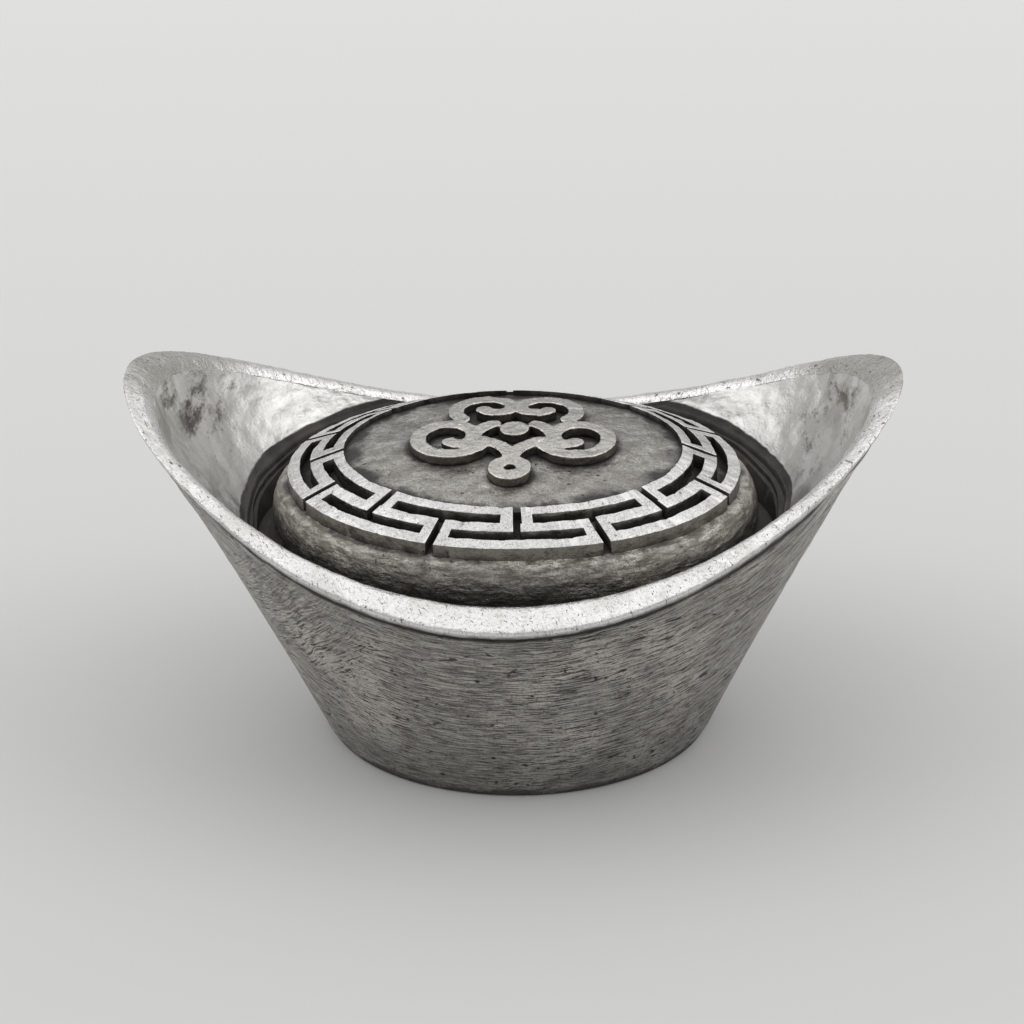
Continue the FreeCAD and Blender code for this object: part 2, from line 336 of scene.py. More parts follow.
def tube(name, columns, rings):
    """Extrudes a circle's open edge again and again, and moves each ring to its place."""
    deselect_all()
    bpy.ops.mesh.primitive_circle_add(vertices=columns, radius=1.0, fill_type="NOTHING")
    piece = bpy.context.object
    piece.name = name
    piece.data.name = name
    bpy.ops.object.mode_set(mode="EDIT")
    bpy.ops.mesh.select_all(action="SELECT")
    for _ in rings[1:]:
        bpy.ops.mesh.extrude_edges_move(TRANSFORM_OT_translate={"value": (0.0, 0.0, 1.0)})
    bpy.ops.object.mode_set(mode="OBJECT")
    points = piece.data.vertices
    for index, ring in enumerate(rings):
        for column in range(columns):
            points[index * columns + column].co = ring(math.tau * column / columns)
    piece.data.update()
    return piece


def close_round(piece):
    """Joins a tube's last ring to its first."""
    only(piece)
    bpy.ops.object.mode_set(mode="EDIT")
    bpy.ops.mesh.select_mode(type="EDGE")
    bpy.ops.mesh.select_all(action="DESELECT")
    bpy.ops.mesh.select_non_manifold(
        extend=False, use_wire=False, use_boundary=True, use_multi_face=False,
        use_non_contiguous=False, use_verts=False
    )
    bpy.ops.mesh.bridge_edge_loops()
    face_outwards()


def close_caps(piece, columns, rings):
    """Draws a tube's first and last rings together, each to a point."""
    only(piece)
    for first in (0, (rings - 1) * columns):
        bpy.ops.object.mode_set(mode="EDIT")
        bpy.ops.mesh.select_mode(type="VERT")
        bpy.ops.mesh.select_all(action="DESELECT")
        bpy.ops.object.mode_set(mode="OBJECT")
        for column in range(columns):
            piece.data.vertices[first + column].select = True
        bpy.ops.object.mode_set(mode="EDIT")
        bpy.ops.mesh.extrude_edges_move()
        bpy.ops.mesh.merge(type="CENTER")
        if first == 0:
            bpy.ops.object.mode_set(mode="OBJECT")
    face_outwards()


def face_outwards():
    """Turns all faces of the piece in edit mode outwards, and leaves edit mode."""
    bpy.ops.mesh.select_all(action="SELECT")
    bpy.ops.mesh.normals_make_consistent(inside=False)
    bpy.ops.object.mode_set(mode="OBJECT")


def apply_modifier(piece, kind, **settings):
    only(piece)
    modifier = piece.modifiers.new(kind.title(), kind)
    for name, value in settings.items():
        setattr(modifier, name, value)
    bpy.ops.object.modifier_apply(modifier=modifier.name)


def hand_made(piece):
    """Warps a piece a little, the same at the same place on every piece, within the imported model's box."""
    low, high = (Vector(corner) / MM for corner in cad_box)
    for vertex in piece.data.vertices:
        place = vertex.co * WARP_REPEAT
        drift = Vector([noise.noise(place + Vector(start)) for start in WARP_STARTS])
        drift.z *= 0.5
        fade = min(vertex.co.z / 4.0, 1.0)
        vertex.co += drift * WARP_REACH * fade
        for axis in range(3):
            inset = BOX_INSET if axis < 2 or vertex.co.z > 1.0 else 0.0
            vertex.co[axis] = min(max(vertex.co[axis], low[axis] + inset), high[axis] - inset)


def uneven(piece, scale, depth, seed, keep=None):
    """Moves the surface in and out by noise, whose bumps are about scale wide, except where keep is true."""
    shift = Vector((seed * 5.3, seed * 2.9, seed * 7.1))
    normals = [vertex.normal.copy() for vertex in piece.data.vertices]
    for vertex, normal in zip(piece.data.vertices, normals):
        if keep and keep(vertex.co):
            continue
        level = noise.fractal(vertex.co / scale + shift, 0.8, 2.1, 3)
        vertex.co += normal * level * depth


def finish_piece(piece, node, finish, angle=40):
    """Scales a piece to metres, smooths its shading, gives it its finish and body, and hides the imported
    part named by node.
    """
    only(piece)
    piece.scale = (MM, MM, MM)
    bpy.ops.object.transform_apply(location=True, rotation=True, scale=True)
    bpy.ops.object.shade_smooth_by_angle(angle=math.radians(angle))
    piece.data.materials.clear()
    piece.data.materials.append(finishes(bpy.context)[finish])
    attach(piece, BODY)
    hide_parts(node)


class Nodes:
    """Adds shader nodes to a tree; an input is a value, or the socket that feeds it."""

    def __init__(self, tree):
        self.tree = tree

    def feed(self, socket, value):
        if isinstance(value, bpy.types.NodeSocket):
            self.tree.links.new(value, socket)
        else:
            socket.default_value = value

    def add(self, kind, inputs=None, **settings):
        node = self.tree.nodes.new("ShaderNode" + kind)
        for name, value in settings.items():
            setattr(node, name, value)
        for name, value in (inputs or {}).items():
            self.feed(node.inputs[name], value)
        return node

    def group(self, group, **inputs):
        return self.add("Group", inputs, node_tree=group).outputs

    def noise(self, vector, scale, detail=3.0, roughness=0.55, distortion=0.0):
        inputs = {"Vector": vector, "Scale": scale, "Detail": detail}
        inputs.update({"Roughness": roughness, "Distortion": distortion})
        return self.add("TexNoise", inputs).outputs["Fac"]

    def ramp(self, value, low, high, to_low=0.0, to_high=1.0):
        inputs = {"Value": value, "From Min": low, "From Max": high, "To Min": to_low, "To Max": to_high}
        return self.add("MapRange", inputs, interpolation_type="SMOOTHSTEP").outputs["Result"]

    def math(self, operation, first, second=0.0):
        return self.add("Math", {0: first, 1: second}, operation=operation).outputs[0]

    def times(self, first, second):
        return self.math("MULTIPLY", first, second)

    def plus(self, first, second):
        return self.math("ADD", first, second)

    def minus(self, first, second):
        return self.math("SUBTRACT", first, second)

    def vectors(self, operation, first, second=(0.0, 0.0, 0.0)):
        return self.add("VectorMath", {0: first, 1: second}, operation=operation).outputs

    def axis(self, vector, name):
        return self.add("SeparateXYZ", {"Vector": vector}).outputs[name]

    def stretch(self, vector, factors):
        return self.vectors("MULTIPLY", vector, factors)["Vector"]

    def drifted(self, vector, scale, reach, detail=2.0):
        """A vector moved about by noise, by up to the reach along each axis."""
        wave = self.add("TexNoise", {"Vector": vector, "Scale": scale, "Detail": detail}).outputs["Color"]
        return self.vectors("ADD", vector, self.stretch(wave, reach))["Vector"]

    def turned(self, vector, reach, axis, angle):
        """A vector moved about by noise, then turned about an axis."""
        inputs = {"Vector": self.drifted(vector, 300.0, (reach,) * 3), "Angle": angle}
        return self.add("VectorRotate", inputs, rotation_type=axis + "_AXIS").outputs["Vector"]

    def near(self, place, centre, radius):
        """1 close to a point and 0 beyond a radius, both in metres."""
        return self.ramp(self.vectors("DISTANCE", place, centre)["Value"], radius * 0.4, radius, 1.0, 0.0)

    def tint(self, share, first, second):
        """Mixes two colours by a share."""
        return self.add("Mix", {0: share, 6: first, 7: second}, data_type="RGBA").outputs[2]

    def coats(self, base, *coats):
        """Lays coats over a colour one after another; a coat is its share and its colour."""
        for share, tone in coats:
            base = self.tint(share, base, tone)
        return base

    def bump(self, height, depth, under=None):
        inputs = {"Height": height, "Distance": depth, "Strength": 1.0}
        if under is not None:
            inputs["Normal"] = under
        return self.add("Bump", inputs).outputs["Normal"]


def new_group(name, inputs, outputs):
    """A shader node group with a vector or floats as its inputs, and the sockets of its two end nodes."""
    group = bpy.data.node_groups.new(name, "ShaderNodeTree")
    for label, default in inputs.items():
        kind = "Vector" if default is None else "Float"
        socket = group.interface.new_socket(label, in_out="INPUT", socket_type="NodeSocket" + kind)
        if default is not None:
            socket.default_value = default
    for label in outputs:
        group.interface.new_socket(label, in_out="OUTPUT", socket_type="NodeSocketFloat")
    entry = group.nodes.new("NodeGroupInput")
    leave = group.nodes.new("NodeGroupOutput")
    return Nodes(group), entry.outputs, leave.inputs


def speckle_group():
    """Fine grey speckle, a broad cloudy mask, and grain at the limit of what the eye sees."""
    n, given, out = new_group("Silver Speckle", {"Vector": None, "Size": 0.25}, ("Speckle", "Cloud", "Grain"))
    place = given["Vector"]
    scale = n.math("DIVIDE", 1 / MM, given["Size"])
    n.feed(out["Speckle"], n.ramp(n.noise(place, scale, 4.0, 0.7), 0.50, 0.64))
    n.feed(out["Cloud"], n.ramp(n.noise(place, n.times(scale, 0.08), 5.0, 0.62), 0.36, 0.66))
    n.feed(out["Grain"], n.ramp(n.noise(place, n.times(scale, 2.3), 2.0, 0.7), 0.46, 0.62))
    return n.tree


def scratch_group():
    """Long thin scratches, as a mask that is 1 in a scratch."""
    inputs = {"Vector": None, "Width": 0.012, "Amount": 0.5}
    n, given, out = new_group("Silver Scratches", inputs, ("Scratch",))
    line = n.noise(given["Vector"], 1.0, 1.0, 0.4, 0.3)
    thin = n.math("LESS_THAN", n.math("ABSOLUTE", n.minus(line, 0.5)), given["Width"])
    place = n.math("LESS_THAN", n.noise(given["Vector"], 2.3, 2.0), given["Amount"])
    n.feed(out["Scratch"], n.times(thin, place))
    return n.tree


def pit_group():
    """Scattered casting pits of uneven outline, as a mask that is 1 in a pit."""
    n, given, out = new_group("Casting Pits", {"Vector": None, "Spacing": 1.0, "Share": 0.3}, ("Pit",))
    scale = n.math("DIVIDE", 1 / MM, given["Spacing"])
    place = n.drifted(given["Vector"], n.times(scale, 2.5), (0.0005,) * 3, 3.0)
    cells = n.add("TexVoronoi", {"Vector": place, "Scale": scale}, feature="F1").outputs
    pick = n.add("SeparateColor", {"Color": cells["Color"]}).outputs[0]
    reach = n.ramp(pick, 0.0, given["Share"], 0.24, 0.0)
    n.feed(out["Pit"], n.ramp(n.minus(reach, cells["Distance"]), -0.04, 0.04))
    return n.tree


def recess_group():
    """How deep a place lies in a corner, how far it stands out on an edge, and how steep it is."""
    n, given, out = new_group(
        "Recess And Edge", {"Reach": 0.0012, "Gain": 1.5, "Grain": 0.5}, ("Recess", "Edge", "Wall")
    )
    shade = n.add("AmbientOcclusion", {"Distance": given["Reach"]}, samples=8).outputs["AO"]
    depth = n.times(n.minus(1.0, shade), given["Gain"])
    grain = n.times(n.times(n.minus(given["Grain"], 0.5), 0.6), n.ramp(depth, 0.05, 0.4))
    n.feed(out["Recess"], n.ramp(n.plus(depth, grain), 0.15, 0.75))
    surface = n.add("NewGeometry").outputs
    wall = n.ramp(n.axis(surface["Normal"], "Z"), 0.35, 0.75, 1.0, 0.0)
    n.feed(out["Wall"], wall)
    edge = n.ramp(surface["Pointiness"], 0.515, 0.575)
    n.feed(out["Edge"], n.times(edge, n.minus(1.0, wall)))
    return n.tree


def new_material(name):
    """The nodes, shader sockets and object coordinates of a new metal material."""
    material = bpy.data.materials.new(name)
    material.use_nodes = True
    n = Nodes(material.node_tree)
    shader = n.tree.nodes["Principled BSDF"].inputs
    n.feed(shader["Metallic"], 1.0)
    return n, shader, n.add("TexCoord").outputs["Object"]


def hull_material(tones, groups):
    """Filed satin outside, smooth pale bowl and a groove painted black as part tarnish and part painted
    shade, told apart by the stored zones.
    """
    n, shader, place = new_material("cast_silver")
    zone = n.add("Attribute", attribute_name="zone").outputs["Color"]
    filed, groove, lip = n.add("SeparateColor", {"Color": zone}).outputs
    marks = n.add("Attribute", attribute_name="marks").outputs["Vector"]
    wavy = n.drifted(marks, 210.0, (0.0, 0.0, 0.0009))
    speckle = n.group(groups.speckle, Vector=place, Size=0.32)

    # File strokes round the outside, with a patch of crossed strokes at the front left
    strokes = n.noise(n.stretch(wavy, FINE_STROKES), 1.0, 4.0, 0.70)
    coarse = n.noise(n.stretch(wavy, COARSE_STROKES), 1.0, 3.0, 0.55)
    crossed = n.noise(n.stretch(n.turned(place, 0.001, "Y", 0.85), CROSSED_STROKES), 1.0, 3.0, 0.66)
    patch = n.near(place, CROSSED_PATCH, CROSSED_REACH)
    mixed = n.plus(strokes, n.times(n.minus(crossed, strokes), patch))
    broad = n.noise(place, 130.0, 3.0, 0.55)
    cut = n.times(n.ramp(mixed, 0.415, 0.47, 1.0, 0.0), n.ramp(broad, 0.36, 0.58, 0.50, 1.0))
    cut = n.times(cut, filed)
    cluster = n.ramp(n.noise(place, 220.0, 3.0, 0.6), 0.40, 0.62, 0.14, 0.9)
    flecked = n.stretch(place, (0.6, 0.6, 1.0))
    pits = n.group(groups.pits, Vector=flecked, Spacing=0.50, Share=cluster)["Pit"]
    long_strokes = n.stretch(wavy, (90.0, 90.0, 420.0))
    gouge = n.group(groups.scratches, Vector=long_strokes, Width=0.006, Amount=0.42)["Scratch"]
    gouge = n.times(gouge, filed)
    rise = n.axis(marks, "Z")
    outside = n.coats(
        n.tint(n.ramp(coarse, 0.34, 0.64), tones.satin_dim, tones.satin),
        (n.ramp(broad, 0.50, 0.66, 0.0, 0.8), tones.satin_light),
        (n.times(speckle["Speckle"], 0.5), tones.satin_dark),
        (n.times(speckle["Grain"], 0.45), tones.satin_dark),
        # Stroke ridges are lightened as painted highlight, and the cuts darkened as part tarnish and part
        # painted shade
        (n.times(n.ramp(mixed, 0.54, 0.62), 0.75), tones.satin_light),
        (n.times(cut, 0.95), tones.warm_dark),
        (n.ramp(rise, 0.0240, 0.0245, 0.0, 0.92), tones.tarnish),
        # The lower part of the wall darkens towards the foot as painted shade
        (n.ramp(rise, 0.0, 0.010, 0.42, 0.0), tones.satin_dark),
    )

    # Bowl: soft streaks up its faces, and blotches of old film near the ear tips
    streaks = n.noise(n.stretch(place, (500.0, 1500.0, 300.0)), 1.0, 5.0, 0.7)
    tips = n.math("ABSOLUTE", n.axis(place, "X"))
    stain = n.noise(n.stretch(place, (480.0, 170.0, 420.0)), 1.0, 6.0, 0.70)
    stain = n.plus(stain, n.ramp(tips, 0.019, 0.029, -0.14, -0.01))
    for centre, radius, gain in BOWL_STAINS:
        stain = n.plus(stain, n.times(n.near(place, centre, radius), gain))
    stain = n.plus(stain, n.times(n.minus(speckle["Speckle"], 0.5), 0.05))
    haze = n.times(n.ramp(tips, 0.020, 0.029), n.ramp(speckle["Cloud"], 0.2, 0.9))
    inside = n.coats(
        n.tint(n.ramp(streaks, 0.34, 0.60), tones.bowl_dim, tones.bowl),
        (n.ramp(stain, 0.52, 0.66, 0.0, 0.75), tones.warm),
        (n.ramp(stain, 0.60, 0.70, 0.0, 0.8), tones.warm_dark),
        (n.times(haze, 0.55), tones.film),
        (n.times(speckle["Grain"], 0.16), tones.satin_dim),
    )

    # Black in the groove, with a ragged upper edge, and in corners found by occlusion: part tarnish, part
    # painted shade
    ragged = n.noise(n.stretch(place, (170.0, 170.0, 500.0)), 1.0, 4.0, 0.55)
    black = n.ramp(n.plus(lip, n.times(ragged, 0.9)), 0.98, 1.12)
    corner = n.group(groups.recess, Reach=0.0012, Gain=1.2, Grain=speckle["Cloud"])["Recess"]
    tarnish_and_shade = n.math("MAXIMUM", n.math("MAXIMUM", black, groove), corner)
    base = n.coats(
        n.tint(filed, inside, outside),
        (n.times(pits, n.plus(n.times(filed, 0.6), 0.25)), tones.tarnish),
        (n.times(gouge, 0.8), tones.tarnish),
        (tarnish_and_shade, n.tint(n.times(speckle["Cloud"], 0.35), tones.tarnish, tones.warm)),
    )
    n.feed(shader["Base Color"], base)
    rough = n.plus(n.times(filed, 0.08), 0.34)
    rough = n.plus(rough, n.times(cut, 0.15))
    n.feed(shader["Roughness"], n.plus(rough, n.times(tarnish_and_shade, 0.32)))
    n.feed(shader["Metallic"], n.minus(1.0, n.times(tarnish_and_shade, 0.9)))
    height = n.times(n.plus(mixed, n.times(coarse, 0.5)), filed)
    height = n.minus(height, n.times(cut, 0.35))
    height = n.plus(height, n.times(n.noise(place, 1500.0, 3.0, 0.6), 0.38))
    height = n.minus(height, n.times(pits, n.times(filed, 0.8)))
    fine = n.bump(n.minus(height, n.times(gouge, 0.9)), 0.00014)
    hammered = n.times(n.noise(place, 160.0, 2.0, 0.5), n.minus(1.0, filed))
    n.feed(shader["Normal"], n.bump(hammered, 0.00019, fine))


def rim_material(tones, groups):
    """Bright rubbed land with fine speckle and nicks, and a strip below its outer edge darkened as painted
    shade.
    """
    n, shader, place = new_material("rubbed_silver")
    side = n.add("Attribute", attribute_name="side").outputs["Fac"]
    speckle = n.group(groups.speckle, Vector=n.drifted(place, 700.0, (0.0006,) * 3), Size=0.26)
    cluster = n.ramp(n.noise(place, 260.0, 3.0, 0.6), 0.42, 0.66, 0.06, 0.5)
    pits = n.group(groups.pits, Vector=place, Spacing=0.6, Share=cluster)["Pit"]
    corner = n.group(groups.recess, Reach=0.0005, Gain=1.5, Grain=speckle["Cloud"])["Recess"]
    leaning = n.stretch(n.turned(place, 0.0016, "Z", 0.9), (900.0, 2600.0, 900.0))
    hairs = n.group(groups.scratches, Vector=leaning, Width=0.022, Amount=0.45)["Scratch"]
    # side and seam mark the strip below the land's outer edge, which is darkened and made ragged as painted
    # shade
    seam = n.plus(side, n.times(speckle["Cloud"], 0.4))
    base = n.coats(
        n.tint(n.ramp(n.noise(place, 330.0, 4.0, 0.6), 0.36, 0.62), tones.bowl, tones.bright),
        (n.times(speckle["Speckle"], 0.62), tones.satin),
        (n.times(hairs, 0.75), tones.satin_dark),
        *((n.times(n.near(place, centre, 0.011), 0.55), tones.film) for centre in TIP_FILM),
        (n.times(side, 0.85), tones.satin_dim),
        (n.ramp(seam, 0.75, 1.25, 0.0, 0.9), tones.satin_dark),
        (n.times(pits, 0.7), tones.tarnish),
        # Corners found by occlusion are darkened: part tarnish, part painted shade
        (n.times(corner, 0.9), tones.tarnish),
    )
    n.feed(shader["Base Color"], base)
    rough = n.plus(0.24, n.times(speckle["Speckle"], 0.20))
    n.feed(shader["Roughness"], n.plus(rough, n.times(side, 0.1)))
    fine = n.bump(n.minus(n.noise(place, 1900.0, 4.0, 0.7), n.times(pits, 0.8)), 0.00011)
    n.feed(shader["Normal"], n.bump(n.noise(place, 420.0, 2.0, 0.5), 0.0002, fine))


def aged_material(name, tones, groups, look):
    """Aged silver with film in streaks, walls and recesses darkened as part tarnish and part painted shade,
    and edges lightened as part wear and part painted highlight.
    """
    n, shader, place = new_material(name)
    speckle = n.group(groups.speckle, Vector=place, Size=look.grain)
    cluster = n.ramp(n.noise(place, 260.0, 3.0, 0.6), 0.40, 0.64, 0.05, 0.5)
    pits = n.group(groups.pits, Vector=place, Spacing=0.55, Share=cluster)["Pit"]
    recess = n.group(groups.recess, Reach=look.reach, Gain=look.gain, Grain=speckle["Cloud"])
    streak = n.noise(n.stretch(n.drifted(place, 200.0, (0.001,) * 3), look.streaks), 1.0, 5.0, 0.68)
    # Recesses found by occlusion, and the field's ragged border along the ring, are darkened: part tarnish,
    # part painted shade
    tarnish_and_shade = recess["Recess"]
    if look.border:
        across = n.vectors("LENGTH", n.stretch(place, look.border))["Value"]
        ragged = n.plus(across, n.times(speckle["Cloud"], 0.11))
        tarnish_and_shade = n.math("MAXIMUM", tarnish_and_shade, n.ramp(ragged, 0.91, 1.02, 0.0, 0.95))
    base = n.coats(
        n.tint(n.times(n.ramp(streak, 0.38, 0.60), look.film), look.tone, tones.warm),
        (n.times(speckle["Speckle"], look.speckle), tones.satin_dark),
        (n.times(speckle["Grain"], look.speckle), tones.satin_dark),
        (n.times(speckle["Cloud"], look.cloud), tones.satin_dim),
        # Steep walls are browned: part tarnish, part painted shade
        (n.times(recess["Wall"], look.wall), tones.warm),
        # Edges are lightened: part worn silver, part painted highlight
        (n.times(recess["Edge"], look.edge), tones.bright),
        (n.times(pits, look.pits), tones.tarnish),
        (tarnish_and_shade, tones.tarnish),
    )
    n.feed(shader["Base Color"], base)
    n.feed(shader["Roughness"], n.plus(look.rough, n.times(tarnish_and_shade, 0.3)))
    n.feed(shader["Metallic"], n.minus(1.0, n.times(tarnish_and_shade, 0.85)))
    height = n.plus(n.noise(place, 1700.0, 4.0, 0.66), n.times(streak, 0.6))
    fine = n.bump(n.minus(height, n.times(pits, 0.7)), look.depth)
    n.feed(shader["Normal"], n.bump(n.noise(place, 330.0, 2.0, 0.5), 0.0002, fine))


def solder_material(tones, groups):
    """Matt blackened solder."""
    n, shader, place = new_material("dark_solder")
    speckle = n.group(groups.speckle, Vector=place, Size=0.3)["Speckle"]
    n.feed(shader["Base Color"], n.tint(n.times(speckle, 0.5), tones.tarnish, tones.warm))
    n.feed(shader["Metallic"], 0.2)
    n.feed(shader["Roughness"], 0.65)
    n.feed(shader["Normal"], n.bump(n.noise(place, 1800.0, 4.0, 0.7), 0.0001))


def shaded(colour, factor=1.0):
    return (*(factor * part for part in colour), 1.0)


def finishes(context):
    """The materials by name, made the first time that a piece asks for one."""
    if "cast_silver" in bpy.data.materials:
        return bpy.data.materials
    colours = context.scene.ingot_colours
    names = ("bright", "satin", "bowl", "tarnish", "warm", "film")
    tones = SimpleNamespace(**{name: shaded(getattr(colours, name)) for name in names})
    tones.satin_light = shaded(colours.satin, 1.4)
    tones.satin_dim = shaded(colours.satin, 0.66)
    tones.satin_dark = shaded(colours.satin, 0.26)
    tones.bowl_dim = shaded(colours.bowl, 0.92)
    tones.warm_dark = shaded(colours.warm, 0.45)
    groups = SimpleNamespace(
        speckle=speckle_group(), scratches=scratch_group(), pits=pit_group(), recess=recess_group()
    )
    hull_material(tones, groups)
    rim_material(tones, groups)
    solder_material(tones, groups)
    dome = {
        "tone": shaded(colours.aged), "film": 0.9, "streaks": (700.0, 700.0, 2900.0), "grain": 0.24,
        "speckle": 0.6, "cloud": 0.5, "wall": 0.0, "edge": 0.0, "pits": 0.6, "reach": 0.0016, "gain": 1.4,
        "rough": 0.38, "depth": 0.00012, "border": None,
    }
    field = {
        **dome, "tone": shaded(colours.field), "film": 0.55, "streaks": (600.0, 600.0, 600.0),
        "speckle": 0.60, "cloud": 0.45, "pits": 0.8, "reach": 0.0018, "gain": 2.0, "rough": 0.36,
        "border": (1000 / 13.6, 1000 / 10.38, 0.0),
    }
    fret = {
        **dome, "tone": shaded(colours.bright, 0.97), "film": 0.12, "streaks": (800.0, 800.0, 800.0),
        "speckle": 0.40, "cloud": 0.20, "wall": 0.85, "edge": 0.8, "pits": 0.5, "reach": 0.0010, "gain": 1.7,
        "rough": 0.28, "depth": 0.00009,
    }
    cloud = {**fret, "tone": shaded(colours.field, 1.2), "wall": 0.9, "gain": 1.5}
    for name, look in {"dome": dome, "field": field, "fret": fret, "cloud": cloud}.items():
        aged_material(name + "_silver", tones, groups, SimpleNamespace(**look))
    return bpy.data.materials


def store_hull_zones(piece, columns, zones, wall_shares, form, lip_at):
    """Stores at each vertex its finish (filed, groove, near the lip) and where the file strokes run."""
    zone = piece.data.attributes.new("zone", "FLOAT_VECTOR", "POINT")
    marks = piece.data.attributes.new("marks", "FLOAT_VECTOR", "POINT")
    radius = form.half_length * STROKE_SHARE * MM
    height = form.ear_height * STROKE_SHARE * MM
    for index, vertex in enumerate(piece.data.vertices):
        ring = min(index // columns, len(zones) - 1)
        angle = math.tau * (index % columns) / columns
        filed, groove = zones[ring]
        lip = 0.0 if filed else max(0.0, min(1.0, 1 - vertex.co.z + lip_at(angle)))
        zone.data[index].vector = (filed, groove, lip)
        marks.data[index].vector = (
            radius * math.cos(angle), radius * math.sin(angle), height * wall_shares[ring]
        )


class INGOT_OT_hull(Operator):
    """Models the cast hull: foot, flared wall, bowl between the ears, groove and hollow foot"""

    bl_idname = "ingot.build_hull"
    bl_label = "Cast Hull"

    columns = 448
    wall_rings = 56
    bowl_rings = 30

    # Lowest ring of the wall, as a share of its height
    first_share = 0.015

    # In millimetres: the bowl face's least height, the floor rings' gaps, and the land round the foot
    least_face = 0.3
    wall_gap = 0.6
    dome_gap = 0.3
    foot_land = 0.9

    # Ledges below the lip: how far out, how far down, and which noise
    ledges = (
        (0.10, 0.05, 1), (-0.02, 0.22, 1), (-0.05, 0.55, 1),
        (-0.30, 0.66, 2), (-0.34, 1.05, 2), (-0.56, 1.16, 3),
    )

    def execute(self, context):
        s = hull_form(context)
        c = centre_form(context)
        tops = {}
        inner_tops = {}
        for column in range(self.columns):
            angle = math.tau * column / self.columns
            tops[column] = under_saddle(s, lambda z: outside_wall(s, angle, z), s.rim_depth).z
            inner_tops[column] = under_saddle(s, lambda z: bowl_wall(s, c, angle, z), s.rim_depth).z

        def column_of(angle):
            return round(angle * self.columns / math.tau) % self.columns

        def on_wall(share):
            def ring(angle):
                z = tops[column_of(angle)] * share
                return Vector((*outside_wall(s, angle, z), z))
            return ring

        def lip_at(angle):
            climb = s.lip_rise * max(0.0, math.sin(angle))
            return min(s.lip_height + climb, inner_tops[column_of(angle)] - self.least_face)

        def on_bowl(share):
            def ring(angle):
                z = mix(inner_tops[column_of(angle)], lip_at(angle), share)
                return Vector((*bowl_wall(s, c, angle, z), z))
            return ring

        def ragged(half_x, half_y, drop, seed):
            def ring(angle):
                lip = lip_at(angle)
                shift = Vector(bowl_wall(s, c, angle, lip)) - Vector(bowl_wall(s, c, angle, s.lip_height))
                around = Vector((math.cos(angle) * 3, math.sin(angle) * 3, seed * 4.7))
                out = 0.20 * noise.fractal(around, 1.1, 2.2, 3)
                x = (half_x + out) * math.cos(angle) + shift.x
                y = (half_y + out) * math.sin(angle) + shift.y
                return Vector((x, y, lip - drop + out * 0.5))
            return ring

        groove_x = c.dome_radius + s.groove_width
        groove_y = c.dome_radius * c.oval_ratio + s.groove_width
        hollow_x = s.foot_length / 2 - s.floor_wall
        hollow_y = s.foot_width / 2 - s.floor_wall
        recess_x = hollow_x + s.plate_ledge
        recess_y = hollow_y + s.plate_ledge
        foot_x = s.foot_length / 2
        foot_y = s.foot_width / 2
        filed, bowl, groove = (1.0, 0.0), (0.0, 0.0), (0.0, 1.0)
        rings, zones, wall_shares = [], [], []

        def lay(ring, zone, share):
            rings.append(ring)
            zones.append(zone)
            wall_shares.append(share)

        for share in shares(3):
            turn = share * math.pi / 2
            inset = s.foot_round * (1 - math.sin(turn))
            rise = s.foot_round * (1 - math.cos(turn))
            lay(oval(foot_x - inset, foot_y - inset, rise), filed, 0.0)
        for share in shares(self.wall_rings)[1:]:
            lay(on_wall(mix(self.first_share, 1.0, share)), filed, share)
        for share in shares(self.bowl_rings):
            lay(on_bowl(share), bowl, 0.0)
        for out, drop, seed in self.ledges:
            lay(ragged(groove_x + out, groove_y + out, drop, seed), groove, 0.0)
        dome_x = c.foot_radius + self.dome_gap
        dome_y = c.foot_radius * c.oval_ratio + self.dome_gap
        lay(oval(groove_x - self.wall_gap, groove_y - self.wall_gap, s.seat_height), groove, 0.0)
        lay(oval(dome_x, dome_y, s.seat_height), groove, 0.0)
        lay(oval(hollow_x, hollow_y, s.seat_height), groove, 0.0)
        lay(oval(hollow_x, hollow_y, s.plate_thickness), groove, 0.0)
        lay(oval(recess_x, recess_y, s.plate_thickness), filed, 0.0)
        lay(oval(recess_x, recess_y, 0.0), filed, 0.0)
        lay(oval(foot_x - self.foot_land, foot_y - self.foot_land, 0.0), filed, 0.0)

        piece = tube("ingot_hull", self.columns, rings)
        store_hull_zones(piece, self.columns, zones, wall_shares, s, lip_at)
        close_round(piece)

        def hidden(point):
            in_groove = abs(point.x) < groove_x and abs(point.y) < groove_y
            return point.z < 2 * s.foot_round or (in_groove and point.z < s.seat_height + 0.1)

        uneven(piece, 5.0, 0.13, 1, hidden)
        uneven(piece, 1.1, 0.045, 2, hidden)
        hand_made(piece)
        finish_piece(piece, "hull", "cast_silver")
        return {"FINISHED"}


